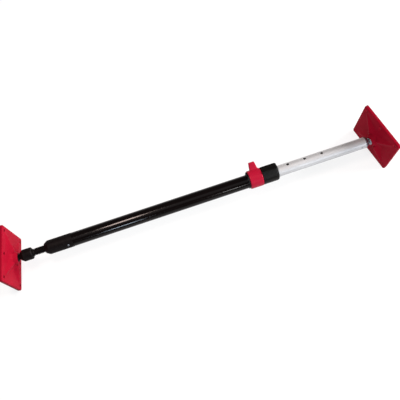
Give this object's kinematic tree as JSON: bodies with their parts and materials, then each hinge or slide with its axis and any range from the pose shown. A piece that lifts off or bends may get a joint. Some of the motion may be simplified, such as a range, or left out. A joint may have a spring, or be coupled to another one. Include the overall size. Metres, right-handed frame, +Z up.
{
  "type": "pull up bar",
  "caption": "Telescoping pull-up bar for a doorway: black tube with jack screw, red cam-lock ring, perforated silver inner tube and square red plates on ball joints.",
  "frame": {"origin": "on the floor under the middle of the bar: the middle of the bounding box's lower face, with the plates standing on their lower edges", "axes": "+X along the bar from the jack screw's plate to the inner tube's plate, +Z up, +Y to the back, away from the side that both plates' inner faces are turned a little towards"},
  "size_m": [1.1106, 0.1481, 0.15],
  "materials": {
    "red_coat": "satin red powder coat",
    "gloss_black": "gloss black paint",
    "matt_black": "matt black coating",
    "zinc_tube": "satin zinc-plated tube",
    "zinc_small": "zinc-plated fastener",
    "bare_steel": "machined steel",
    "black_moulding": "fine-grained black moulding",
    "red_moulding": "smooth red moulding",
    "nylon": "natural nylon",
    "pad_rubber": "ribbed black rubber",
    "nut_bronze": "machined bronze"
  },
  "bodies": {
    "tube": {"outer_tube": "gloss_black", "nut_sleeve": "matt_black", "screw_nut": "nut_bronze", "sleeve_rivets": "zinc_small", "end_housing": "black_moulding", "housing_screws": "zinc_small", "front_bush": "nylon"},
    "head": {"swivel_head": "matt_black", "left_ball_stud": "matt_black", "head_grub_screw": "bare_steel", "thrust_washer": "black_moulding"},
    "screw": {"jack_screw": "matt_black", "screw_stop": "bare_steel", "stop_pin": "bare_steel"},
    "left_seat": {"left_ball_seat": "nylon"},
    "left_plate": {"left_wall_plate": "red_coat", "left_plate_pad": "pad_rubber", "left_ball_retainer": "bare_steel", "left_retainer_screws": "zinc_small"},
    "ring": {"lock_ring": "red_moulding"},
    "pin": {"lock_pin": "bare_steel", "lock_pin_dowel": "bare_steel"},
    "slider": {"inner_tube": "zinc_tube", "tail_bush": "nylon", "end_plug": "zinc_small", "plug_rivets": "zinc_small"},
    "right_stud": {"right_ball_stud": "zinc_small", "stud_clip": "bare_steel"},
    "right_seat": {"right_ball_seat": "nylon"},
    "right_plate": {"right_wall_plate": "red_coat", "right_plate_pad": "pad_rubber", "right_ball_retainer": "bare_steel", "right_retainer_screws": "zinc_small"}
  },
  "joints": [
    {"name": "jack_slide", "type": "slide", "parent": "tube", "child": "head", "axis": [-1, 0, 0], "range_m": [-0.0335, 0.0495]},
    {"name": "screw_turn", "type": "hinge", "parent": "head", "child": "screw", "pos_m": [-0.4, -0.00329, 0.075], "axis": [-1, 0, 0], "range_deg": [-3015, 4455]},
    {"name": "left_plate_yaw", "type": "hinge", "parent": "head", "child": "left_seat", "pos_m": [-0.519, -0.00329, 0.075], "axis": [0, 0, 1], "range_deg": [-7.5, 32.5]},
    {"name": "left_plate_pitch", "type": "hinge", "parent": "left_seat", "child": "left_plate", "pos_m": [-0.519, -0.00329, 0.075], "axis": [0.2164, 0.9763, 0], "range_deg": [-15, 15]},
    {"name": "ring_turn", "type": "hinge", "parent": "tube", "child": "ring", "pos_m": [0.1675, -0.00329, 0.075], "axis": [1, 0, 0], "range_deg": [0, 35]},
    {"name": "pin_slide", "type": "slide", "parent": "tube", "child": "pin", "axis": [0, 0.3907, 0.9205], "range_m": [-0.0032, 0]},
    {"name": "tube_slide", "type": "slide", "parent": "tube", "child": "slider", "axis": [1, 0, 0], "range_m": [-0.2032, 0.1524]},
    {"name": "right_stud_turn", "type": "hinge", "parent": "slider", "child": "right_stud", "pos_m": [0.49, -0.00329, 0.075], "axis": [1, 0, 0], "continuous": true},
    {"name": "right_plate_yaw", "type": "hinge", "parent": "right_stud", "child": "right_seat", "pos_m": [0.519, -0.00329, 0.075], "axis": [0, 0, 1], "range_deg": [-32.5, 7.5]},
    {"name": "right_plate_pitch", "type": "hinge", "parent": "right_seat", "child": "right_plate", "pos_m": [0.519, -0.00329, 0.075], "axis": [-0.2164, 0.9763, 0], "range_deg": [-15, 15]}
  ],
  "couplings": [
    {"joint": "screw_turn", "follows": "jack_slide", "rad_per_m": 1570.8},
    {"joint": "ring_turn", "follows": "pin_slide", "rad_per_m": -190.89}
  ]
}
